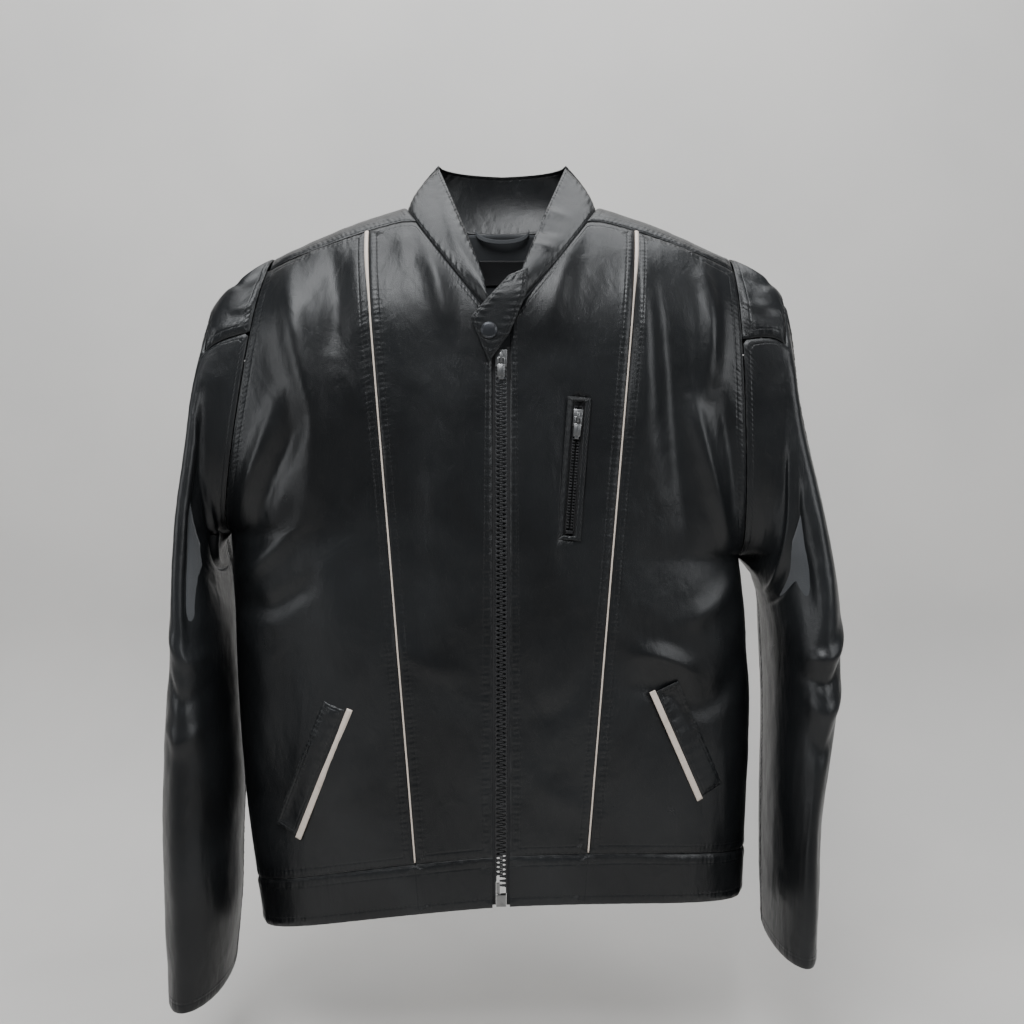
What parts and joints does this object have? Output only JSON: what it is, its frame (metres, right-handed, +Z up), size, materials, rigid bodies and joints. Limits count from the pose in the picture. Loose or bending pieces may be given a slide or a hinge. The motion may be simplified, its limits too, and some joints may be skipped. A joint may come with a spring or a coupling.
{
  "type": "leather riding jacket",
  "caption": "Zip-front stand-collar leather riding jacket with snap tab, piped front seams, chest zip pocket, welt hand pockets and opening fronts.",
  "frame": {"origin": "middle of the neck, level with the neck ends of the shoulder lines, where a hanger carries the jacket", "axes": "+X to the wearer's left, +Y to the wearer's back, +Z up"},
  "size_m": [0.6122, 0.1781, 0.7573],
  "materials": {
    "leather": "semi-gloss coated black leather with fine grain",
    "lining": "dark grey woven lining",
    "piping": "matt cream leather",
    "zip_tape": "black woven tape",
    "zip_teeth": "black moulded teeth",
    "zip_metal": "plain nickel-coloured metal",
    "snap_metal": "dark gunmetal",
    "label": "plain black satin, no lettering"
  },
  "bodies": {
    "root": {"front_side_panel_right": "leather", "front_side_panel_left": "leather", "side_lining_right": "lining", "side_lining_left": "lining", "hem_band_side_right": "leather", "hem_band_side_left": "leather", "princess_piping_right": "piping", "princess_piping_left": "piping", "shoulder_yoke_right": "leather", "shoulder_yoke_left": "leather", "back_panel": "leather", "back_lining": "lining", "back_side_panel_right": "leather", "back_side_panel_left": "leather", "back_yoke": "leather", "hem_band_back": "leather", "collar_back": "leather", "hand_pocket_strip_right": "piping", "hand_pocket_strip_left": "piping", "hand_pocket_welt_right": "leather", "hand_pocket_welt_left": "leather", "hand_pocket_bag_right": "lining", "hand_pocket_bag_left": "lining", "neck_facing": "lining", "neck_label": "label", "hang_loop": "lining"},
    "right_front": {"front_panel_right": "leather", "front_lining_right": "lining", "hem_band_front_right": "leather", "collar_front_right": "leather", "zip_tape_right": "zip_tape", "zip_teeth_right": "zip_teeth", "insertion_pin": "zip_metal", "snap_stud": "snap_metal"},
    "left_front": {"front_panel_left": "leather", "front_lining_left": "lining", "hem_band_front_left": "leather", "collar_front_left": "leather", "zip_tape_left": "zip_tape", "zip_teeth_left": "zip_teeth", "retainer_box": "zip_metal", "chest_pocket_frame": "leather", "chest_zip_tape": "zip_tape", "chest_zip_teeth": "zip_teeth", "chest_pocket_bag": "lining"},
    "slider": {"main_slider": "zip_metal"},
    "slider_pull": {"main_pull": "zip_metal"},
    "chest_slider": {"chest_slider": "zip_metal"},
    "chest_slider_pull": {"chest_pull": "zip_metal"},
    "tab": {"collar_tab": "leather", "snap_cap": "snap_metal", "snap_socket": "snap_metal"},
    "right_sleeve": {"shoulder_cap_right": "leather", "sleeve_front_right": "leather", "sleeve_back_right": "leather", "sleeve_lining_right": "lining"},
    "left_sleeve": {"shoulder_cap_left": "leather", "sleeve_front_left": "leather", "sleeve_back_left": "leather", "sleeve_lining_left": "lining"}
  },
  "joints": [
    {"name": "left_front_open", "type": "hinge", "parent": "root", "child": "left_front", "pos_m": [0.0989, -0.0745, -0.3125], "axis": [0.0826, 0, 0.9966], "range_deg": [0, 45]},
    {"name": "right_front_open", "type": "hinge", "parent": "root", "child": "right_front", "pos_m": [-0.0989, -0.0745, -0.3125], "axis": [0.0826, 0, -0.9966], "range_deg": [0, 45], "deforming": ["zip_teeth_right", "zip_tape_right"]},
    {"name": "main_zip_travel", "type": "slide", "parent": "left_front", "child": "slider", "axis": [0, 0, -1], "range_m": [0, 0.462]},
    {"name": "main_pull_swing", "type": "hinge", "parent": "slider", "child": "slider_pull", "pos_m": [0, -0.0764, -0.152], "axis": [-1, 0, 0], "range_deg": [0, 100]},
    {"name": "chest_zip_travel", "type": "slide", "parent": "left_front", "child": "chest_slider", "axis": [-0.075, 0, -0.9972], "range_m": [0, 0.079]},
    {"name": "chest_pull_swing", "type": "hinge", "parent": "chest_slider", "child": "chest_slider_pull", "pos_m": [0.06737, -0.0752, -0.20413], "axis": [-0.9972, 0, 0.075], "range_deg": [0, 100]},
    {"name": "collar_tab_lift", "type": "hinge", "parent": "left_front", "child": "tab", "pos_m": [0.023, -0.0803, -0.084], "axis": [0, 0, 1], "range_deg": [0, 110]},
    {"name": "right_sleeve_swing", "type": "hinge", "parent": "root", "child": "right_sleeve", "pos_m": [-0.214, 0, -0.049], "axis": [0, 1, 0], "range_deg": [0, 25]},
    {"name": "left_sleeve_swing", "type": "hinge", "parent": "root", "child": "left_sleeve", "pos_m": [0.214, 0, -0.049], "axis": [0, -1, 0], "range_deg": [0, 25]}
  ],
  "couplings": [
    {"joint": "right_front_open", "follows": "left_front_open", "ratio": 1},
    {"joint": "main_zip_travel", "follows": "left_front_open", "m_per_rad": 0.588}
  ]
}
